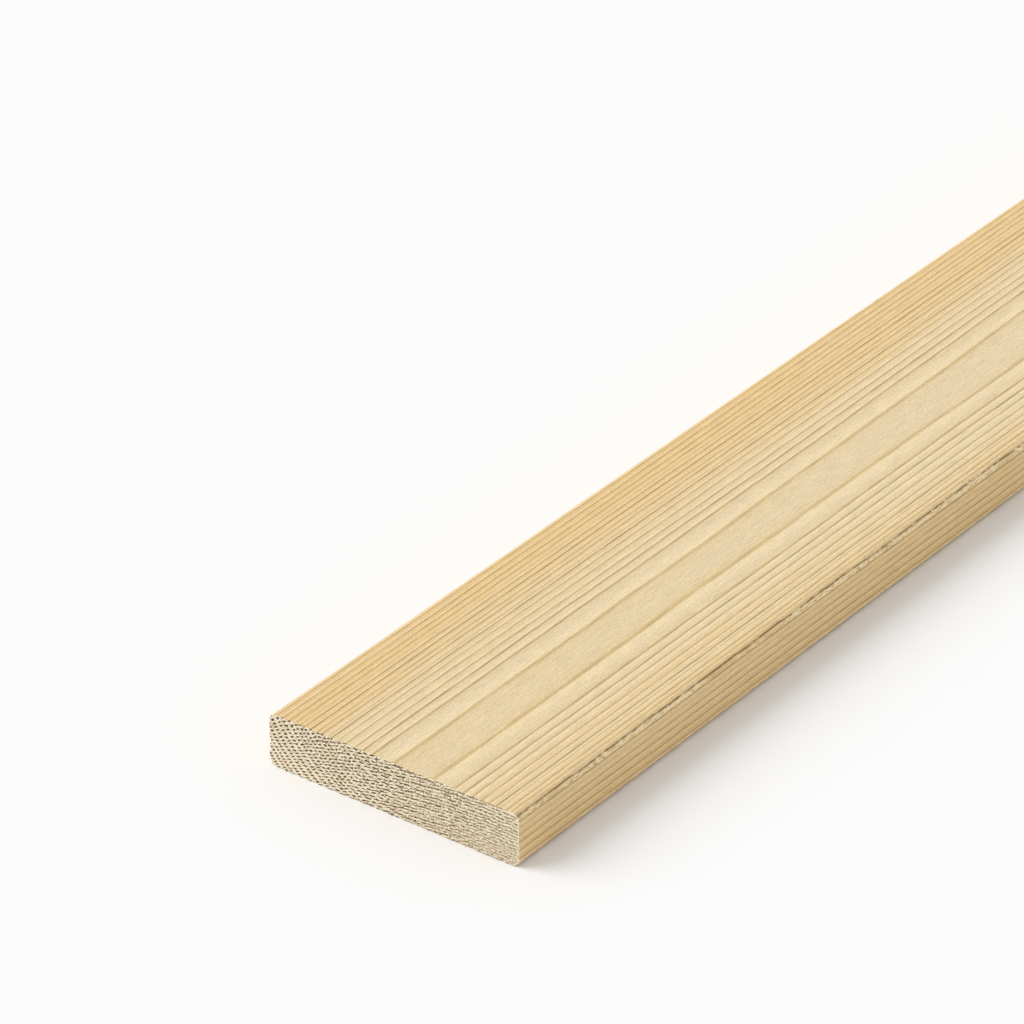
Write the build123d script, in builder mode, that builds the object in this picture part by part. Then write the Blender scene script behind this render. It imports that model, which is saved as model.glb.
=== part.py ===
from build123d import *
import os

# Planed softwood plank: one straight piece with square-cut ends and eased long edges.
# Millimetres. The plank lies flat: X runs along it, Y across its width, Z up through its thickness.
# The origin is the centre of the underside.

# Driving dimensions
plank_length = 1000.0
plank_width = 120.0
plank_thickness = 24.0
arris_radius = 3.5

os.makedirs("parts", exist_ok=True)

# Plank
with BuildPart() as plank:
    # The section is drawn at mid-length and carried to both ends, its lower edge on the underside.
    with BuildSketch(Plane.YZ):
        Rectangle(plank_width, plank_thickness, align=(Align.CENTER, Align.MIN))
    extrude(amount=plank_length / 2, both=True)

    # The planer eases the four long edges alike. The end edges stay as the crosscut saw leaves them.
    long_edges = plank.edges().filter_by(Axis.X)
    fillet(long_edges, radius=arris_radius)

plank.part.label = "plank"
export_step(plank.part, "parts/plank.step")
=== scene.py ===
import math

import bpy
import numpy as np
from mathutils import Matrix, Vector


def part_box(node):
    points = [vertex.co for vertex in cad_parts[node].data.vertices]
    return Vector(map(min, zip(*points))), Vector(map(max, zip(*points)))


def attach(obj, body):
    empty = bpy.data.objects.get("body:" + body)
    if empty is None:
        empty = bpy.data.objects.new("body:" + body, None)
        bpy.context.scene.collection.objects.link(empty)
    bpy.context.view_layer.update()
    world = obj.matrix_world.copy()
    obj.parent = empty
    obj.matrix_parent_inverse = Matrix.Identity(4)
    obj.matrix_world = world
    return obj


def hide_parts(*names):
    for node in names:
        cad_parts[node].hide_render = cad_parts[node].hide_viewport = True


# A planed softwood plank, lying flat. X runs along it, Y across it, Z up from the underside.
# Sizes are in millimetres until they reach Blender, which takes metres.
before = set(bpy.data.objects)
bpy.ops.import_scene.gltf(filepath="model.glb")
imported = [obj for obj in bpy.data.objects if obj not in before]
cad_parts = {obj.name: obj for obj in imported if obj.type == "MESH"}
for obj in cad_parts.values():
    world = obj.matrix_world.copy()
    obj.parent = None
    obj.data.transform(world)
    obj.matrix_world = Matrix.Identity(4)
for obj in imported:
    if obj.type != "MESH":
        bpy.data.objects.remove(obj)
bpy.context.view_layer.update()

MM = 0.001
plank_low, plank_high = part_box("plank")
LENGTH = (plank_high.x - plank_low.x) / MM
WIDTH = (plank_high.y - plank_low.y) / MM
THICKNESS = (plank_high.z - plank_low.z) / MM
ARRIS = 3.5

# The heart of the tree ran above the plank, a little right of its middle, and dips towards the far end.
PITH_ACROSS = -9.9
PITH_HEIGHT = 62.0
PITH_DIP = 8.0
PITH_DIP_POWER = 3

# Growth rings from the heart outward: width in mm, and how dark the ring's late wood is from 0 to 1.
FIRST_RING_RADIUS = 24.75
RINGS = (
    (3.6, 0.55), (3.6, 0.60), (3.7, 0.50), (3.6, 0.50), (3.7, 0.75), (2.4, 0.85), (2.2, 0.70),
    (2.7, 0.70), (2.5, 0.65), (2.3, 0.95), (1.3, 0.45), (2.1, 0.80), (1.8, 0.65), (2.4, 1.00),
    (2.3, 0.85), (1.8, 0.35), (2.0, 0.75), (2.3, 0.75), (2.7, 0.75), (2.8, 0.70), (2.9, 1.00),
    (2.9, 0.70), (2.7, 0.65), (2.2, 0.75), (2.6, 0.65), (2.6, 0.70), (2.7, 0.65),
)

# Late wood takes up the outer part of each ring: its width in mm where it is palest, what the darkest adds
# to that, and the part of a count that is over when it starts.
THIN_LATE_WOOD = 0.34
LATE_WOOD_BY_DARKNESS = 0.26
LATE_START = 0.5

# The rings waver slowly along the grain, and their lines a little more quickly.
RING_WAVER = 0.8
RING_WAVER_SIZE = (110.0, 18.0, 18.0)
LINE_WAVER = 0.25
LINE_WAVER_SIZE = (24.0, 3.0, 3.0)

# What a ring shows from its inner edge, 0, to its outer edge, 1: the late wood and the pale young wood
# on a planed face, and how easily the fibres tear out on a sawn end.
LATE_PROFILE = (
    (0.0, 0.3), (0.04, 0.05), (0.12, 0.0), (0.25, 0.02), (0.38, 0.07),
    (0.5, 0.18), (0.62, 0.55), (0.8, 1.0), (0.96, 1.0), (1.0, 0.6),
)
YOUNG_PROFILE = ((0.0, 0.0), (0.04, 1.0), (0.15, 0.6), (0.32, 0.0), (1.0, 0.0))
TEAR_PROFILE = (
    (0.0, 0.9), (0.1, 0.5), (0.22, 0.0), (0.38, 0.0), (0.5, 0.25), (0.65, 0.8), (0.9, 1.0), (1.0, 0.9),
)

# The crosscut saw's arcs on the ends: their centre, from the middle of the underside, and their pitch.
# They lie closer together low down and further apart high up, by an amount that changes from left to right.
SAW_ACROSS = -53.0
SAW_HEIGHT = -265.2
SAW_PITCH = 1.394
SAW_BENDS = ((0.0, 0.0095), (0.15, 0.0075), (0.3, 0.004), (0.4, 0.001), (0.6, 0.003), (1.0, 0.0045))

# The relief of the ends in the mesh: the saw's pits, shallower in early wood, and the fuzz over them.
PIT_DEPTH_LEFT = 0.20
PIT_DEPTH_RIGHT = 0.10
EARLY_PIT_SHARE = 0.25
FUZZ_DEPTH = 0.06
FUZZ_CELL = 0.8

# How far the wood stays inside the plank's stated size, and how uneven its eased edges are.
FACE_INSET = 0.05
END_INSET = 0.06
ARRIS_UNEVENNESS = 0.14
ARRIS_RAMP = 4.0
ARRIS_CELL = 6.0
ARRIS_STRETCH = 9.0

# The chips that the saw left round the ends. They come in groups, most of them on the lower side.
CHIP_LEAST = 0.12
CHIP_MOST = 1.5
CHIP_LENGTH = 0.8
CHIP_THRESHOLD = 0.35
CHIP_RAMP = 0.50
CHIP_GROUP_LENGTH = 11.0
CHIP_GROUP_LEAST = 0.4
CHIP_SHARE_BELOW = 1.25
CHIP_SHARE_FALL = 1.6
CHIP_SHARE_ABOVE = 0.10
CHIP_SLOPE = 0.8
CHIP_SQUEEZE = 6.0

# Seeds of the random values in the mesh, for the near end, 1, and the far end, -1.
END_SEEDS = {1: 41, -1: 61}
ARRIS_SEED = 31

# Mesh spacing.
ACROSS_STEP = 0.5
ARC_STEPS = 8
UP_STEPS = 80
END_STATIONS = (0.0, 0.15, 0.35, 0.7, 1.1, 1.7, 2.6, 4.0, 6.0, 9.0, 13.0)
MIDDLE_STATIONS = 74

# The plank's flat map: the long faces unrolled below, and the two ends side by side above.
LONG_MAP_TOP = 0.895
END_MAP_BOTTOM = 0.903
END_MAP_HEIGHT = 0.094
END_MAP_WIDTH = 0.485
END_MAP_LEFT = {1: 0.005, -1: 0.51}

# Blender's noise has a spread of about an eighth. In the looks below, a name that ends in SIZE gives the
# size of a noise's blots in mm along each axis, and one in BAND the values between which the noise acts.
NOISE_TO_SWING = 8.0

# Early wood, in linear colour: warmer away from the heart, partly its own tone and partly painted warm bounce
# light, in long soft streaks.
EARLY_PALE = (0.785, 0.635, 0.395, 1)
EARLY_WARM_AND_BOUNCE = (0.785, 0.572, 0.288, 1)
WARM_AND_BOUNCE_RADII = (47.0, 67.0)
STREAK_SIZE = (320.0, 9.0, 9.0)
STREAK_BAND = (0.3, 0.7)
STREAK_REACH = 0.3
YOUNG_PALENESS = 0.10

# Late wood: what multiplies the early wood's colour, from none to the darkest, and how patchy it is.
LATE_NONE = (1.0, 1.0, 1.0, 1)
LATE_FAINT = (0.89, 0.81, 0.65, 1)
LATE_FIRM = (0.72, 0.65, 0.50, 1)
LATE_DARK = (0.44, 0.40, 0.31, 1)
LATE_STOPS = ((0.0, LATE_NONE), (0.35, LATE_FAINT), (0.62, LATE_FIRM), (1.0, LATE_DARK))
PATCH_SIZE = (16.0, 2.0, 2.0)
PATCH_BAND = (0.3, 0.7)
PATCH_STRENGTH = (0.7, 1.15)

# Fibres and flecks of the planed faces, and how far they lighten or darken the wood.
PLANED_SHADE = 0.99
FIBRE_SIZE = (11.0, 0.50, 0.50)
FIBRE_ROUGHNESS = 0.65
FIBRE_SHADE = 0.17
FLECK_SIZE = (1.4, 0.60, 0.60)
FLECK_SHADE = 0.12
GRAIN_BAND = (0.25, 0.75)

# The planed faces' surface, with its relief in mm.
EARLY_ROUGHNESS = 0.62
LATE_ROUGHNESS = 0.50
PLANED_SPECULAR = 0.35
LATE_RISE = 0.020
FIBRE_RISE = 0.035

# Torn grain on the eased edges, from full on the right to a share of it on the left: first a broken
# crack, at a height in mm above and below mid-thickness. Its brown is partly torn wood and partly painted
# shade.
TORN_BROWN_AND_SHADE = (0.240, 0.120, 0.032, 1)
TORN_AT_LEFT = 0.3
TORN_FADE = 0.5
CRACK_ABOVE = 11.0
CRACK_WANDER = 1.0
CRACK_WANDER_SIZE = (16.0, 90.0, 90.0)
CRACK_HALF_WIDTHS = (0.10, 0.36)
CRACK_BREAK_SIZE = (9.0, 30.0, 30.0)
CRACK_BREAK_ROUGHNESS = 0.8
CRACK_BREAK_BAND = (0.38, 0.52)
CRACK_STRENGTH = 0.78
CRACK_DEPTH = 0.12

# Beside the crack, patches of pale flecks, partly torn fibres and partly a painted highlight, with dark gaps
# between them, partly painted shade.
TORN_PALE_AND_HIGHLIGHT = (1.000, 0.810, 0.490, 1)
TORN_ABOVE = 10.2
TORN_HALF_WIDTHS = (0.5, 1.3)
TORN_PATCH_SIZE = (22.0, 60.0, 60.0)
TORN_PATCH_BAND = (0.34, 0.46)
TORN_BIT_SIZE = (2.6, 0.62, 0.62)
PALE_BAND = (0.43, 0.51)
PALE_RISE = 0.06
GAP_BAND = (0.34, 0.44)
GAP_STRENGTH = 0.18
GAP_DEPTH = 0.03

# Saw rows in the colour of the ends. Here and below, across means from the left, 0, to the right, 1,
# and a list of pairs gives a strength at places across. Low down on the right the rows are shallower.
ROW_WAVER = 0.12
ROW_WAVER_SIZE = (3.0, 3.0, 3.0)
ROW_STRENGTH = ((0.0, 1.0), (0.45, 0.97), (0.6, 0.74), (0.7, 0.88), (0.8, 1.0), (1.0, 1.0))
SHALLOW_ACROSS = (0.60, 0.80)
SHALLOW_HEIGHTS = (6.0, 12.0)
SHALLOW_MOST = 0.5

# Torn fibres in the rows: the rows' own weight, and what the tearing and the short strokes add to them.
# A stroke's size is across the end and outward from the saw's centre.
ROW_WEIGHT = 0.74
STROKE_SIZE = (1.15, 0.85, 1.0)
STROKES_IN_ROWS = ((0.0, 0.28), (0.35, 0.52), (0.6, 0.64), (0.8, 0.56), (1.0, 0.40))
TEARING_IN_ROWS = ((0.0, 0.75), (0.3, 0.62), (0.5, 0.35), (0.65, 0.20), (0.85, 0.34), (1.0, 0.38))

# The tearing that shows everywhere, and how it weakens from the lower of two heights in mm to the upper.
TEARING_ANYWHERE = (
    (0.0, 0.50), (0.15, 0.44), (0.3, 0.34), (0.45, 0.34),
    (0.55, 0.29), (0.65, 0.20), (0.8, 0.13), (1.0, 0.05),
)
TEARING_HEIGHTS = (5.0, 18.0)
TEARING_SHARES = (1.2, 0.75)

# Single torn bits, which grow stronger from the left to the middle, and fuzz, which is fibre ends.
SPECK_SIZE = (0.8, 0.6, 1.0)
SPECK_ACROSS = (0.0, 0.5)
SPECK_STRENGTH = (0.15, 0.24)
FUZZ_SIZE = (0.40, 0.40, 0.40)
FUZZ_STRENGTH = 0.12

# The bright burr at the right edge of an end, partly pale torn fibres and partly a painted highlight along
# the edge. It fades between two distances in mm from the edge, and the fuzz breaks it up.
BURR_WIDTHS = (0.2, 0.8)
BURR_ACROSS = (0.93, 0.99)
BURR_FUZZ = (-0.2, 0.1)
BURR_SHARES = (1.0, 0.6)

# The ends' contrast, which eases towards the right, their colours from ridge to pit, and their surface. The
# pale ridges are partly painted light and the dark pits partly painted shade, on top of the sawn wood's own
# colour.
END_CONTRAST = 1.6
END_FADE_ACROSS = (0.5, 1.0)
END_FADE = 0.72
PALER_TO_RIGHT = ((0.0, 0.0), (0.5, 0.01), (0.7, 0.05), (1.0, 0.16))
END_SHADE = 0.08
END_PALE_AND_LIT = (0.950, 0.852, 0.678, 1)
END_MIDDLE = (0.560, 0.455, 0.295, 1)
END_DARK_AND_SHADED = (0.085, 0.045, 0.012, 1)
END_LIGHT_AND_SHADE_STOPS = ((0.0, END_PALE_AND_LIT), (0.5, END_MIDDLE), (1.0, END_DARK_AND_SHADED))
END_ROUGHNESS = 0.9
END_SPECULAR = 0.2
END_PIT_DEPTH = 0.06

# The photograph's camera: its width in pixels, where the near lower corner of the plank stands in it, and
# at what scale. Its nearest and furthest sight are in metres.
IMAGE_SIZE = 1024
CORNER_PIXEL = (518.6, 869.0)
FOCAL_PIXELS = 6225.0
PIXELS_PER_MM = 2.653
CAMERA_AZIMUTH = -53.4
CAMERA_ELEVATION = 30.65
CAMERA_ROLL = 0.25
SENSOR_WIDTH = 36.0
NEAREST_SIGHT = 0.01
FURTHEST_SIGHT = 100.0

# Light.
KEY_HEADING = (0.57, -0.82)
KEY_ELEVATION = 40.0
KEY_SOFTNESS = 45.0
KEY_STRENGTH = 1.9
SKY_COLOUR = (1, 1, 1, 1)
SKY_STRENGTH = 0.66

# Floor, in metres.
FLOOR_SIZE = 30.0
FLOOR_PALE = (0.93, 0.93, 0.93, 1)
FLOOR_ROUGHNESS = 0.9
FLOOR_SPECULAR = 0.1


# Wood, worked out over arrays for the mesh


def ring_knots():
    """Radii, and the count of rings grown at each: late wood starts half way from one count to the next."""
    radii = [FIRST_RING_RADIUS]
    counts = [0.0]
    for number, (width, darkness) in enumerate(RINGS):
        late = THIN_LATE_WOOD + LATE_WOOD_BY_DARKNESS * darkness
        radii += [radii[-1] + width - late, radii[-1] + width]
        counts += [number + LATE_START, number + 1.0]
    return np.array(radii), np.array(counts)


def smooth_noise(u, v, cell, seed):
    """Random values from 0 to 1 that change smoothly over about one cell."""
    u, v = np.broadcast_arrays(np.asarray(u) / cell, np.asarray(v) / cell)
    u = u - u.min()
    v = v - v.min()
    knots = np.random.default_rng(seed).random((int(u.max()) + 2, int(v.max()) + 2))
    i = u.astype(int)
    j = v.astype(int)
    a = (u - i) ** 2 * (3 - 2 * (u - i))
    b = (v - j) ** 2 * (3 - 2 * (v - j))
    near = knots[i, j] * (1 - a) + knots[i + 1, j] * a
    far = knots[i, j + 1] * (1 - a) + knots[i + 1, j + 1] * a
    return near * (1 - b) + far * b


def ring_tearing(x, y, z):
    """How easily the fibres tear out at a point of an end, from 0 to 1."""
    travelled = (x + LENGTH / 2) / LENGTH
    pith_height = PITH_HEIGHT - PITH_DIP * travelled**PITH_DIP_POWER
    radius = np.hypot(y - PITH_ACROSS, z - pith_height)
    through = np.interp(radius, *ring_knots()) % 1
    return np.interp(through, *zip(*TEAR_PROFILE))


def saw_groove(y, z):
    """The saw's arcs over an end, from 0 on a ridge to 1 in a groove."""
    bend = np.interp(0.5 - y / WIDTH, *zip(*SAW_BENDS))
    radius = np.hypot(y - SAW_ACROSS, z - SAW_HEIGHT) - bend * (z - THICKNESS / 2) ** 2
    return 0.5 + 0.5 * np.cos(2 * np.pi * radius / SAW_PITCH)


# Shape


class Section:
    """Places over the plank's cross-section, columns by rows, and the outline round them."""

    def __init__(self):
        flat = WIDTH / 2 - ARRIS
        turns = np.linspace(0, np.pi / 2, ARC_STEPS + 1)[1:]
        arc = flat + ARRIS * np.sin(turns)
        rise = ARRIS * (1 - np.cos(turns))
        middle = np.linspace(-flat, flat, round(2 * flat / ACROSS_STEP) + 1)
        across = np.concatenate([-arc[::-1], middle, arc])
        self.bottom = np.concatenate([rise[::-1], np.zeros(len(middle)), rise])[:, None]
        self.top = THICKNESS - self.bottom
        share = np.linspace(0, 1, UP_STEPS + 1)
        self.y = np.repeat(across[:, None], len(share), 1)
        self.z = self.bottom + share * (self.top - self.bottom)
        self.trace_outline()

    def trace_outline(self):
        """Goes round the section from the middle of its underside, the way that turns the faces outward."""
        columns, rows = self.y.shape
        bottom = [(j, 0) for j in range(columns)]
        left = [(columns - 1, k) for k in range(1, rows)]
        top = [(j, rows - 1) for j in range(columns - 2, -1, -1)]
        right = [(0, k) for k in range(rows - 2, 0, -1)]
        order = bottom + left + top + right
        half = columns // 2
        self.outline = tuple(np.array(order[half:] + order[:half]).T)
        y, z = self.y[self.outline], self.z[self.outline]
        step = np.hypot(np.roll(y, -1) - y, np.roll(z, -1) - z)
        self.run = np.concatenate([[0], np.cumsum(step)])
        core_y = np.clip(y, ARRIS - WIDTH / 2, WIDTH / 2 - ARRIS)
        core_z = np.clip(z, ARRIS, THICKNESS - ARRIS)
        out = np.stack([y - core_y, z - core_z])
        self.out_y, self.out_z = out / np.hypot(*out)


def chip_depths(section, seed):
    """How far back the torn bits reach round an end's edge."""
    run = section.run[:-1]
    height = section.z[section.outline] / THICKNESS
    low_side = np.clip(CHIP_SHARE_BELOW - CHIP_SHARE_FALL * height, CHIP_SHARE_ABOVE, 1.0)
    fine = smooth_noise(run, 0 * run, CHIP_LENGTH, seed)
    groups = smooth_noise(run, 0 * run, CHIP_GROUP_LENGTH, seed + 1)
    torn = np.clip((fine - CHIP_THRESHOLD) / CHIP_RAMP, 0, 1)
    torn = torn * (CHIP_GROUP_LEAST + (1 - CHIP_GROUP_LEAST) * groups)
    return CHIP_LEAST + (CHIP_MOST - CHIP_LEAST) * torn * low_side


def end_relief(section, side, seed):
    """How far each place of an end lies in from the plank's stated length. Side is 1 at the near end."""
    y, z = section.y, section.z
    turned = y * side
    tearing = ring_tearing(-side * LENGTH / 2, y, z)
    pit = saw_groove(turned, z) * (EARLY_PIT_SHARE + (1 - EARLY_PIT_SHARE) * tearing)
    rightness = 0.5 - turned / WIDTH
    pit_depth = PIT_DEPTH_LEFT + (PIT_DEPTH_RIGHT - PIT_DEPTH_LEFT) * rightness
    fuzz = FUZZ_DEPTH * smooth_noise(y, z, FUZZ_CELL, seed + 2)
    relief = pit_depth * pit + fuzz

    chips = np.zeros(y.shape)
    chips[section.outline] = chip_depths(section, seed)
    gaps = (
        (chips[:, :1], z - section.bottom),
        (chips[:, -1:], section.top - z),
        (chips[:1], y + WIDTH / 2),
        (chips[-1:], WIDTH / 2 - y),
    )
    for chip, gap in gaps:
        relief = np.maximum(relief, chip * np.clip(1 - gap / (CHIP_SLOPE * chip), 0, 1))
    relief[section.outline] = chips[section.outline]
    return END_INSET + relief


def long_faces(section, reliefs):
    """Vertices, faces and flat-map corners of the faces that run along the plank."""
    near = -LENGTH / 2 + np.array(END_STATIONS)
    middle = np.linspace(near[-1], -near[-1], MIDDLE_STATIONS)
    along = np.concatenate([near[:-1], middle, -near[:-1][::-1]])[:, None]
    count = len(section.run) - 1

    # The faces stay a little inside the stated size, more where the eased edges are uneven.
    round_part = np.clip(np.abs(section.out_y * section.out_z) * ARRIS_RAMP, 0, 1)
    uneven = smooth_noise(along / ARRIS_STRETCH, section.run[:-1], ARRIS_CELL, ARRIS_SEED)
    inset = FACE_INSET + ARRIS_UNEVENNESS * uneven * round_part
    y = section.y[section.outline] - section.out_y * inset
    z = section.z[section.outline] - section.out_z * inset

    # The stations close up behind the chips of the end that they are near.
    from_end = LENGTH / 2 - np.abs(along)
    closing = np.clip(1 - from_end / CHIP_SQUEEZE, 0, 1)
    back = np.where(along < 0, reliefs[1][section.outline], -reliefs[-1][section.outline])
    x = along + back * closing
    vertices = np.stack([x, y, z], -1).reshape(-1, 3)

    first = np.arange(len(along) - 1)[:, None] * count
    a = (first + np.arange(count)).ravel()
    b = (first + np.roll(np.arange(count), -1)).ravel()
    faces = np.stack([a, b, b + count, a + count], -1)

    u0 = np.tile(section.run[:-1], len(along) - 1) / section.run[-1]
    u1 = np.tile(section.run[1:], len(along) - 1) / section.run[-1]
    v = LONG_MAP_TOP * (along.ravel() / LENGTH + 0.5)
    v0, v1 = np.repeat(v[:-1], count), np.repeat(v[1:], count)
    corners = np.stack([u0, v0, u1, v0, u1, v1, u0, v1], -1).reshape(-1, 4, 2)
    return vertices, faces, corners


def end_face(section, relief, side, edge_start, inner_start):
    """The same for one end, whose outer vertices are those that the long faces begin or finish with."""
    inner = np.ones(section.y.shape, bool)
    inner[section.outline] = False
    number = np.zeros(section.y.shape, int)
    number[section.outline] = edge_start + np.arange(len(section.run) - 1)
    number[inner] = inner_start + np.arange(inner.sum())
    x = -side * (LENGTH / 2 - relief[inner])
    vertices = np.stack([x, section.y[inner], section.z[inner]], -1)

    u = END_MAP_LEFT[side] + END_MAP_WIDTH * (section.y / WIDTH + 0.5)
    v = END_MAP_BOTTOM + END_MAP_HEIGHT * section.z / THICKNESS
    flat = np.stack([u, v], -1)
    around = ((0, 0), (0, 1), (1, 1), (1, 0)) if side == 1 else ((0, 0), (1, 0), (1, 1), (0, 1))
    columns, rows = section.y.shape
    picks = [(slice(j, columns - 1 + j), slice(k, rows - 1 + k)) for j, k in around]
    faces = np.stack([number[pick].ravel() for pick in picks], -1)
    corners = np.stack([flat[pick].reshape(-1, 2) for pick in picks], 1)
    return vertices, faces, corners


def make_plank():
    section = Section()
    reliefs = {side: end_relief(section, side, seed) for side, seed in END_SEEDS.items()}
    parts = [long_faces(section, reliefs)]
    long_count = len(parts[0][0])
    outline_count = len(section.run) - 1
    for side, edge_start in ((1, 0), (-1, long_count - outline_count)):
        inner_start = sum(len(part[0]) for part in parts)
        parts.append(end_face(section, reliefs[side], side, edge_start, inner_start))
    vertices, faces, corners = (np.concatenate(group) for group in zip(*parts))
    is_end = np.arange(len(faces)) >= len(parts[0][1])

    mesh = bpy.data.meshes.new("softwood_plank")
    mesh.from_pydata((vertices * MM).tolist(), [], faces.tolist())
    flat_map = mesh.uv_layers.new(name="OFBake")
    flat_map.data.foreach_set("uv", corners.astype(np.float32).ravel())
    mesh.materials.append(planed_wood())
    mesh.materials.append(sawn_end_grain())
    mesh.polygons.foreach_set("material_index", is_end.astype(np.int32))
    mesh.shade_smooth()
    mesh.update()
    plank = bpy.data.objects.new("softwood_plank", mesh)
    bpy.context.scene.collection.objects.link(plank)
    return plank


# Materials


class Graph:
    """One material's nodes. Any input takes a number, a colour or another node's output."""

    def __init__(self, name):
        self.material = bpy.data.materials.new(name)
        self.material.use_nodes = True
        self.nodes = self.material.node_tree.nodes
        self.links = self.material.node_tree.links
        self.shader = self.nodes["Principled BSDF"]

    def feed(self, socket, value):
        if isinstance(value, bpy.types.NodeSocket):
            self.links.new(value, socket)
        else:
            socket.default_value = value

    def node(self, kind, *values, **settings):
        made = self.nodes.new(kind)
        for name, value in settings.items():
            setattr(made, name, value)
        for socket, value in zip(made.inputs, values):
            self.feed(socket, value)
        return made

    def math(self, operation, *values):
        return self.node("ShaderNodeMath", *values, operation=operation).outputs[0]

    def add(self, first, second):
        return self.math("ADD", first, second)

    def subtract(self, first, second):
        return self.math("SUBTRACT", first, second)

    def multiply(self, first, second):
        return self.math("MULTIPLY", first, second)

    def length(self, x, y, z):
        return self.node("ShaderNodeVectorMath", self.join(x, y, z), operation="LENGTH").outputs[1]

    def scale(self, vector, factor):
        made = self.node("ShaderNodeVectorMath", vector, operation="SCALE")
        self.feed(made.inputs["Scale"], factor)
        return made.outputs[0]

    def place(self):
        """The point on the plank, in millimetres."""
        return self.scale(self.node("ShaderNodeTexCoord").outputs["Object"], 1 / MM)

    def split(self, vector):
        return self.node("ShaderNodeSeparateXYZ", vector).outputs

    def join(self, x, y, z):
        return self.node("ShaderNodeCombineXYZ", x, y, z).outputs[0]

    def noise(self, vector, size, detail=1.0, roughness=0.5):
        """Noise from 0 to 1, with blots of that size along each axis."""
        stretched = self.node("ShaderNodeVectorMath", vector, size, operation="DIVIDE").outputs[0]
        made = self.node("ShaderNodeTexNoise", stretched)
        made.inputs["Scale"].default_value = 1.0
        made.inputs["Detail"].default_value = detail
        made.inputs["Roughness"].default_value = roughness
        return made.outputs[0]

    def swing(self, vector, size, detail=0.0):
        """Noise that swings about 0, with a spread of about 1."""
        return self.multiply(self.subtract(self.noise(vector, size, detail), 0.5), NOISE_TO_SWING)

    def rise(self, value, band, ends=(0.0, 1.0)):
        """Runs from the first of two ends to the second while the value passes through a band."""
        return self.node("ShaderNodeMapRange", value, *band, *ends).outputs[0]

    def fall(self, value, band):
        return self.rise(value, band, (1.0, 0.0))

    def curve(self, value, points):
        """A value read off straight lines between points."""
        made = self.node("ShaderNodeFloatCurve", 1.0, value)
        line = made.mapping.curves[0]
        line.points[0].location = points[0]
        line.points[1].location = points[-1]
        for x, y in points[1:-1]:
            line.points.new(x, y)
        for point in line.points:
            point.handle_type = "VECTOR"
        made.mapping.update()
        return made.outputs[0]

    def ramp(self, value, stops):
        """A colour read off stops, each a place from 0 to 1 and its colour."""
        made = self.node("ShaderNodeValToRGB", value)
        elements = made.color_ramp.elements
        elements[0].position, elements[0].color = stops[0]
        elements[1].position, elements[1].color = stops[-1]
        for position, colour in stops[1:-1]:
            elements.new(position).color = colour
        return made.outputs[0]

    def mix(self, share, first, second):
        made = self.node("ShaderNodeMix", data_type="RGBA")
        self.feed(made.inputs[0], share)
        self.feed(made.inputs[6], first)
        self.feed(made.inputs[7], second)
        return made.outputs[2]

    def tint(self, first, second):
        return self.node("ShaderNodeVectorMath", first, second, operation="MULTIPLY").outputs[0]

    def surface(self, roughness, specular):
        self.feed(self.shader.inputs["Roughness"], roughness)
        self.feed(self.shader.inputs["Specular IOR Level"], specular)

    def finish(self, colour, height):
        """Colours the surface and raises it. The height is in millimetres."""
        self.feed(self.shader.inputs["Base Color"], colour)
        bump = self.node("ShaderNodeBump")
        bump.inputs["Strength"].default_value = 1.0
        bump.inputs["Distance"].default_value = MM
        self.feed(bump.inputs["Height"], height)
        self.feed(self.shader.inputs["Normal"], bump.outputs[0])
        return self.material


class GrowthRings:
    """Outputs that all faces share: a point's radius from the heart, the count of rings grown by there,
    and how far through its ring it is."""

    def __init__(self, graph, place):
        x, y, z = graph.split(place)
        travelled = graph.rise(x, (-LENGTH / 2, LENGTH / 2))
        dip = graph.multiply(graph.math("POWER", travelled, PITH_DIP_POWER), PITH_DIP)
        below = graph.subtract(graph.add(z, dip), PITH_HEIGHT)
        self.radius = graph.length(0.0, graph.subtract(y, PITH_ACROSS), below)
        for size, reach in ((RING_WAVER_SIZE, RING_WAVER), (LINE_WAVER_SIZE, LINE_WAVER)):
            waver = graph.subtract(graph.noise(place, size), 0.5)
            self.radius = graph.add(self.radius, graph.multiply(waver, reach))

        radii, counts = ring_knots()
        shares = (radii - radii[0]) / (radii[-1] - radii[0])
        grown = graph.rise(self.radius, (radii[0], radii[-1]))
        grown = graph.curve(grown, list(zip(shares, counts / len(RINGS))))
        self.count = graph.multiply(grown, len(RINGS))
        self.through = graph.math("FRACT", self.count)


def ring_darkness(graph, rings):
    """How dark the late wood is in the ring that a point lies in."""
    middle = graph.math("DIVIDE", graph.add(graph.math("FLOOR", rings.count), 0.5), len(RINGS))
    middles = [((i + 0.5) / len(RINGS), darkness) for i, (width, darkness) in enumerate(RINGS)]
    first = (0.0, middles[0][1])
    last = (1.0, middles[-1][1])
    return graph.curve(middle, [first, *middles, last])


def early_wood(graph, place, rings):
    """The wood's colour before late wood, fibres and flecks, warmed away from the heart partly by painted
    warm bounce light.
    """
    streaks = graph.noise(place, STREAK_SIZE, detail=2.0)
    streaks = graph.rise(streaks, STREAK_BAND, (-STREAK_REACH, STREAK_REACH))
    # Warmth away from the heart: partly the wood's tone, partly painted warm bounce light.
    warmth_and_bounce = graph.add(graph.rise(rings.radius, WARM_AND_BOUNCE_RADII), streaks)
    return graph.mix(warmth_and_bounce, EARLY_PALE, EARLY_WARM_AND_BOUNCE)


def late_wood(graph, place, rings):
    """How much late wood shows on a planed face, from 0 to about 1."""
    patches = graph.noise(place, PATCH_SIZE, detail=2.0)
    patches = graph.rise(patches, PATCH_BAND, PATCH_STRENGTH)
    strength = graph.multiply(ring_darkness(graph, rings), patches)
    return graph.multiply(graph.curve(rings.through, LATE_PROFILE), strength)


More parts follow.
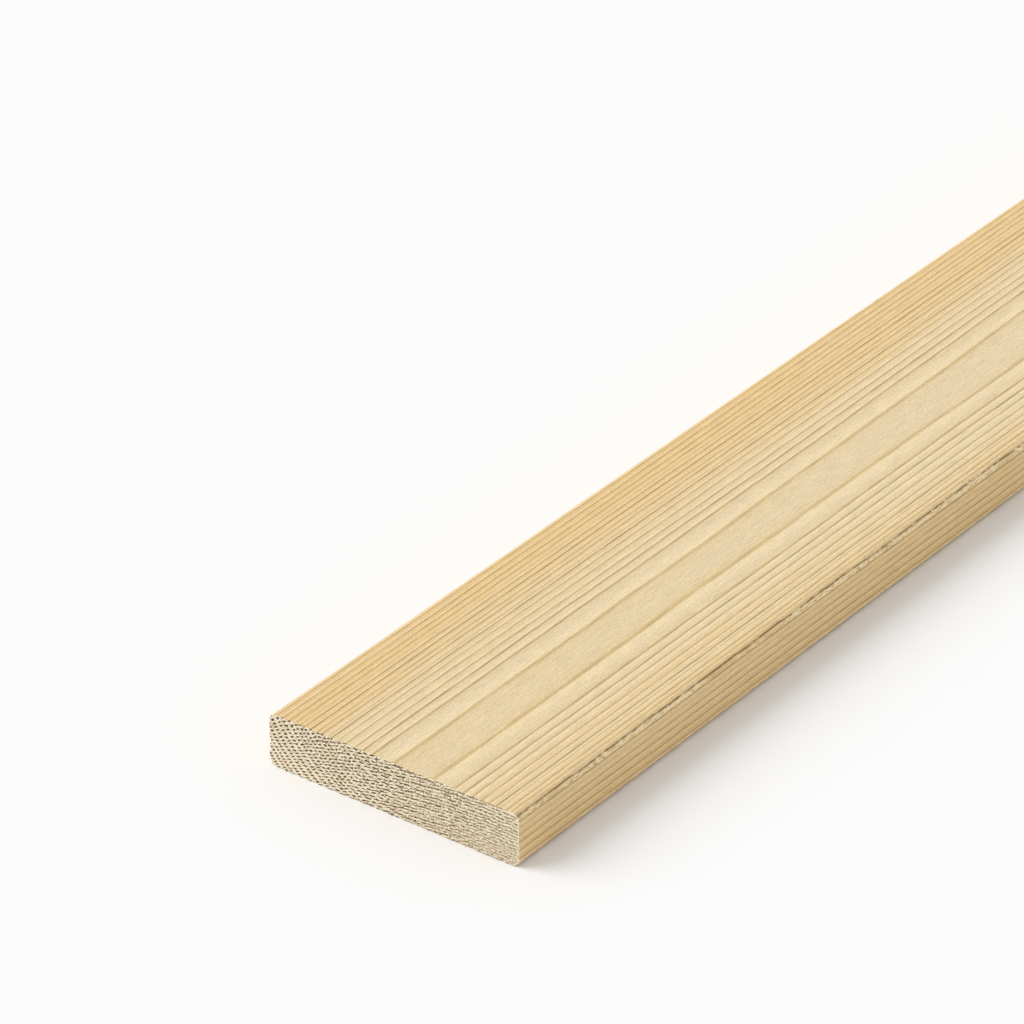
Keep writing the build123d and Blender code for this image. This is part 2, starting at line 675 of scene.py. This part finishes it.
def torn_arris(graph, place):
    """A broken crack, pale flecks partly painted as highlight and the dark gaps between them, along the eased
    edges, most on the right; the crack and gaps are partly painted shade.
    """
    x, y, z = graph.split(place)
    above = graph.math("ABSOLUTE", graph.subtract(z, THICKNESS / 2))
    flat = WIDTH / 2 - ARRIS
    rounded = graph.rise(graph.math("ABSOLUTE", y), (flat, flat + TORN_FADE))
    rounded = graph.multiply(rounded, graph.rise(y, (-WIDTH / 2, WIDTH / 2), (1.0, TORN_AT_LEFT)))

    wander = graph.noise(place, CRACK_WANDER_SIZE, detail=2.0)
    wander = graph.multiply(graph.subtract(wander, 0.5), CRACK_WANDER)
    off = graph.math("ABSOLUTE", graph.subtract(above, graph.add(wander, CRACK_ABOVE)))
    broken = graph.noise(place, CRACK_BREAK_SIZE, detail=3.0, roughness=CRACK_BREAK_ROUGHNESS)
    broken = graph.multiply(graph.rise(broken, CRACK_BREAK_BAND), rounded)
    crack = graph.multiply(graph.fall(off, CRACK_HALF_WIDTHS), broken)

    off = graph.math("ABSOLUTE", graph.subtract(above, TORN_ABOVE))
    patches = graph.rise(graph.noise(place, TORN_PATCH_SIZE), TORN_PATCH_BAND)
    torn = graph.multiply(graph.fall(off, TORN_HALF_WIDTHS), graph.multiply(patches, rounded))
    bits = graph.noise(place, TORN_BIT_SIZE)
    pale = graph.multiply(graph.rise(bits, PALE_BAND), torn)
    gaps = graph.multiply(graph.fall(bits, GAP_BAND), torn)
    return crack, pale, gaps


def planed_wood():
    graph = Graph("planed_softwood")
    place = graph.place()
    rings = GrowthRings(graph, place)
    late = late_wood(graph, place, rings)
    colour = graph.tint(early_wood(graph, place, rings), graph.ramp(late, LATE_STOPS))

    # Fibres and flecks, and the palest wood where a ring begins
    fibre = graph.noise(place, FIBRE_SIZE, detail=3.0, roughness=FIBRE_ROUGHNESS)
    fleck = graph.noise(place, FLECK_SIZE)
    shade = graph.rise(fibre, GRAIN_BAND, (-FIBRE_SHADE, FIBRE_SHADE))
    shade = graph.add(shade, graph.rise(fleck, GRAIN_BAND, (-FLECK_SHADE, FLECK_SHADE)))
    shade = graph.add(shade, graph.multiply(graph.curve(rings.through, YOUNG_PROFILE), YOUNG_PALENESS))
    colour = graph.scale(colour, graph.add(shade, PLANED_SHADE))

    crack, pale, gaps = torn_arris(graph, place)
    # Pale flecks: partly torn fibres, partly a painted highlight on the rounded arris.
    colour = graph.mix(pale, colour, TORN_PALE_AND_HIGHLIGHT)
    # Dark gaps and crack: partly torn brown wood, partly painted shade in them.
    colour = graph.mix(graph.multiply(gaps, GAP_STRENGTH), colour, TORN_BROWN_AND_SHADE)
    colour = graph.mix(graph.multiply(crack, CRACK_STRENGTH), colour, TORN_BROWN_AND_SHADE)

    graph.surface(graph.rise(late, (0.0, 1.0), (EARLY_ROUGHNESS, LATE_ROUGHNESS)), PLANED_SPECULAR)
    height = graph.add(graph.multiply(late, LATE_RISE), graph.multiply(fibre, FIBRE_RISE))
    height = graph.add(height, graph.multiply(pale, PALE_RISE))
    height = graph.subtract(height, graph.multiply(crack, CRACK_DEPTH))
    height = graph.subtract(height, graph.multiply(gaps, GAP_DEPTH))
    return graph.finish(colour, height)


class EndPlace:
    """Outputs that place a point on an end, as seen from outside, and round the saw's arcs."""

    def __init__(self, graph):
        self.point = graph.place()
        x, self.y, self.z = graph.split(self.point)
        turned = graph.multiply(self.y, graph.multiply(graph.math("SIGN", x), -1.0))
        self.rightness = graph.rise(turned, (WIDTH / 2, -WIDTH / 2))
        self.above_middle = graph.subtract(self.z, THICKNESS / 2)
        from_saw = graph.subtract(turned, SAW_ACROSS), graph.subtract(self.z, SAW_HEIGHT)
        self.saw_radius = graph.length(0.0, *from_saw)
        self.along_arc = graph.join(turned, self.saw_radius, 0.0)


def saw_rows(graph, end):
    """The saw's arcs: 1 in a groove, -1 on a ridge, and shallow low down on the right."""
    squared = graph.multiply(end.above_middle, end.above_middle)
    bend = graph.multiply(squared, graph.curve(end.rightness, SAW_BENDS))
    waver = graph.multiply(graph.swing(end.point, ROW_WAVER_SIZE), ROW_WAVER)
    arc = graph.add(graph.subtract(end.saw_radius, bend), waver)
    groove = graph.math("COSINE", graph.multiply(arc, 2 * math.pi / SAW_PITCH))
    shallow = graph.rise(end.rightness, SHALLOW_ACROSS, (0.0, SHALLOW_MOST))
    shallow = graph.multiply(shallow, graph.fall(end.z, SHALLOW_HEIGHTS))
    strength = graph.multiply(graph.curve(end.rightness, ROW_STRENGTH), graph.subtract(1.0, shallow))
    return graph.multiply(groove, strength)


def torn_fibres(graph, end, rows):
    """How far the fibres are torn out, below 0 where they stand proud: most in the rows and in late wood."""
    rings = GrowthRings(graph, end.point)
    tearing = graph.multiply(graph.curve(rings.through, TEAR_PROFILE), 2.0)
    tearing = graph.subtract(tearing, 1.0)
    strokes = graph.swing(end.along_arc, STROKE_SIZE)
    strokes = graph.multiply(strokes, graph.curve(end.rightness, STROKES_IN_ROWS))
    torn = graph.multiply(tearing, graph.curve(end.rightness, TEARING_IN_ROWS))
    pit = graph.multiply(rows, graph.add(ROW_WEIGHT, graph.add(torn, strokes)))
    anywhere = graph.rise(end.z, TEARING_HEIGHTS, TEARING_SHARES)
    anywhere = graph.multiply(graph.curve(end.rightness, TEARING_ANYWHERE), anywhere)
    return graph.add(pit, graph.multiply(tearing, anywhere))


def edge_burr_and_highlight(graph, end):
    """The bright burr along the right edge of an end, from 0 to 1: partly pale fibres, partly a painted
    highlight.
    """
    core_y = graph.subtract(graph.math("ABSOLUTE", end.y), WIDTH / 2 - ARRIS)
    core_z = graph.subtract(graph.math("ABSOLUTE", end.above_middle), THICKNESS / 2 - ARRIS)
    core = graph.math("MAXIMUM", core_y, 0.0), graph.math("MAXIMUM", core_z, 0.0)
    gap = graph.subtract(ARRIS, graph.length(0.0, *core))
    return graph.multiply(graph.fall(gap, BURR_WIDTHS), graph.rise(end.rightness, BURR_ACROSS))


def sawn_end_grain():
    graph = Graph("sawn_end_grain")
    end = EndPlace(graph)
    pit = torn_fibres(graph, end, saw_rows(graph, end))

    # Single torn bits and standing fibre ends
    specks = graph.swing(end.along_arc, SPECK_SIZE)
    specks = graph.multiply(specks, graph.rise(end.rightness, SPECK_ACROSS, SPECK_STRENGTH))
    fuzz = graph.multiply(graph.swing(end.point, FUZZ_SIZE, detail=2.0), FUZZ_STRENGTH)
    pit = graph.multiply(graph.add(pit, graph.add(specks, fuzz)), END_CONTRAST)
    fade = graph.rise(end.rightness, END_FADE_ACROSS, (1.0, END_FADE))
    pit = graph.multiply(graph.math("TANH", pit), fade)

    # The burr lightens the edge: partly pale torn fibres, partly a painted highlight.
    burr_and_highlight = graph.multiply(edge_burr_and_highlight(graph, end), graph.rise(fuzz, BURR_FUZZ, BURR_SHARES))
    pit = graph.subtract(graph.multiply(pit, graph.subtract(1.0, burr_and_highlight)), burr_and_highlight)
    # Pits darkened as painted shade and ridges lightened as painted light, over the sawn wood's own colour.
    shade = graph.subtract(pit, graph.curve(end.rightness, PALER_TO_RIGHT))
    shade = graph.rise(graph.add(shade, END_SHADE), (-1.0, 1.0))
    graph.surface(END_ROUGHNESS, END_SPECULAR)
    return graph.finish(graph.ramp(shade, END_LIGHT_AND_SHADE_STOPS), graph.multiply(pit, -END_PIT_DEPTH))


# Stage


def make_floor():
    half = FLOOR_SIZE / 2
    corners = [(-half, -half, 0), (half, -half, 0), (half, half, 0), (-half, half, 0)]
    mesh = bpy.data.meshes.new("floor")
    mesh.from_pydata(corners, [], [(0, 1, 2, 3)])
    graph = Graph("pale_floor")
    graph.shader.inputs["Base Color"].default_value = FLOOR_PALE
    graph.surface(FLOOR_ROUGHNESS, FLOOR_SPECULAR)
    mesh.materials.append(graph.material)
    floor = bpy.data.objects.new("floor", mesh)
    bpy.context.scene.collection.objects.link(floor)


def make_lights():
    key = bpy.data.lights.new("key", "SUN")
    key.energy = KEY_STRENGTH
    key.angle = math.radians(KEY_SOFTNESS)
    lamp = bpy.data.objects.new("key", key)
    bpy.context.scene.collection.objects.link(lamp)
    rise = math.radians(KEY_ELEVATION)
    level = Vector(KEY_HEADING).normalized() * math.cos(rise)
    lamp.rotation_mode = "QUATERNION"
    lamp.rotation_quaternion = Vector((level.x, level.y, -math.sin(rise))).to_track_quat("-Z", "Y")

    world = bpy.data.worlds.new("soft_light")
    world.use_nodes = True
    sky = world.node_tree.nodes["Background"]
    sky.inputs["Color"].default_value = SKY_COLOUR
    sky.inputs["Strength"].default_value = SKY_STRENGTH
    bpy.context.scene.world = world


def make_camera():
    """Stands the camera so that the plank's near lower corner falls on its pixel."""
    azimuth, elevation, roll = (math.radians(a) for a in (CAMERA_AZIMUTH, CAMERA_ELEVATION, CAMERA_ROLL))
    level = Vector((-math.sin(azimuth), math.cos(azimuth), 0))
    ahead = level * math.cos(elevation) - Vector((0, 0, math.sin(elevation)))
    level_right = Vector((math.cos(azimuth), math.sin(azimuth), 0))
    level_down = ahead.cross(level_right)
    right = math.cos(roll) * level_right - math.sin(roll) * level_down
    down = math.sin(roll) * level_right + math.cos(roll) * level_down

    depth = FOCAL_PIXELS / PIXELS_PER_MM
    off_right, off_down = ((p - IMAGE_SIZE / 2) / FOCAL_PIXELS * depth for p in CORNER_PIXEL)
    corner = Vector((-LENGTH / 2, -WIDTH / 2, 0))
    stand = corner - (right * off_right + down * off_down + ahead * depth)

    lens = bpy.data.cameras.new("camera")
    lens.sensor_width = SENSOR_WIDTH
    lens.lens = FOCAL_PIXELS * SENSOR_WIDTH / IMAGE_SIZE
    lens.clip_start = NEAREST_SIGHT
    lens.clip_end = FURTHEST_SIGHT
    camera = bpy.data.objects.new("camera", lens)
    bpy.context.scene.collection.objects.link(camera)
    turn = Matrix((right, -down, -ahead)).transposed()
    camera.matrix_world = Matrix.Translation(stand * MM) @ turn.to_4x4()
    bpy.context.scene.camera = camera


plank = make_plank()
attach(plank, "root")
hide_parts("plank")
make_floor()
make_lights()
make_camera()
bpy.context.scene.view_settings.view_transform = "Standard"
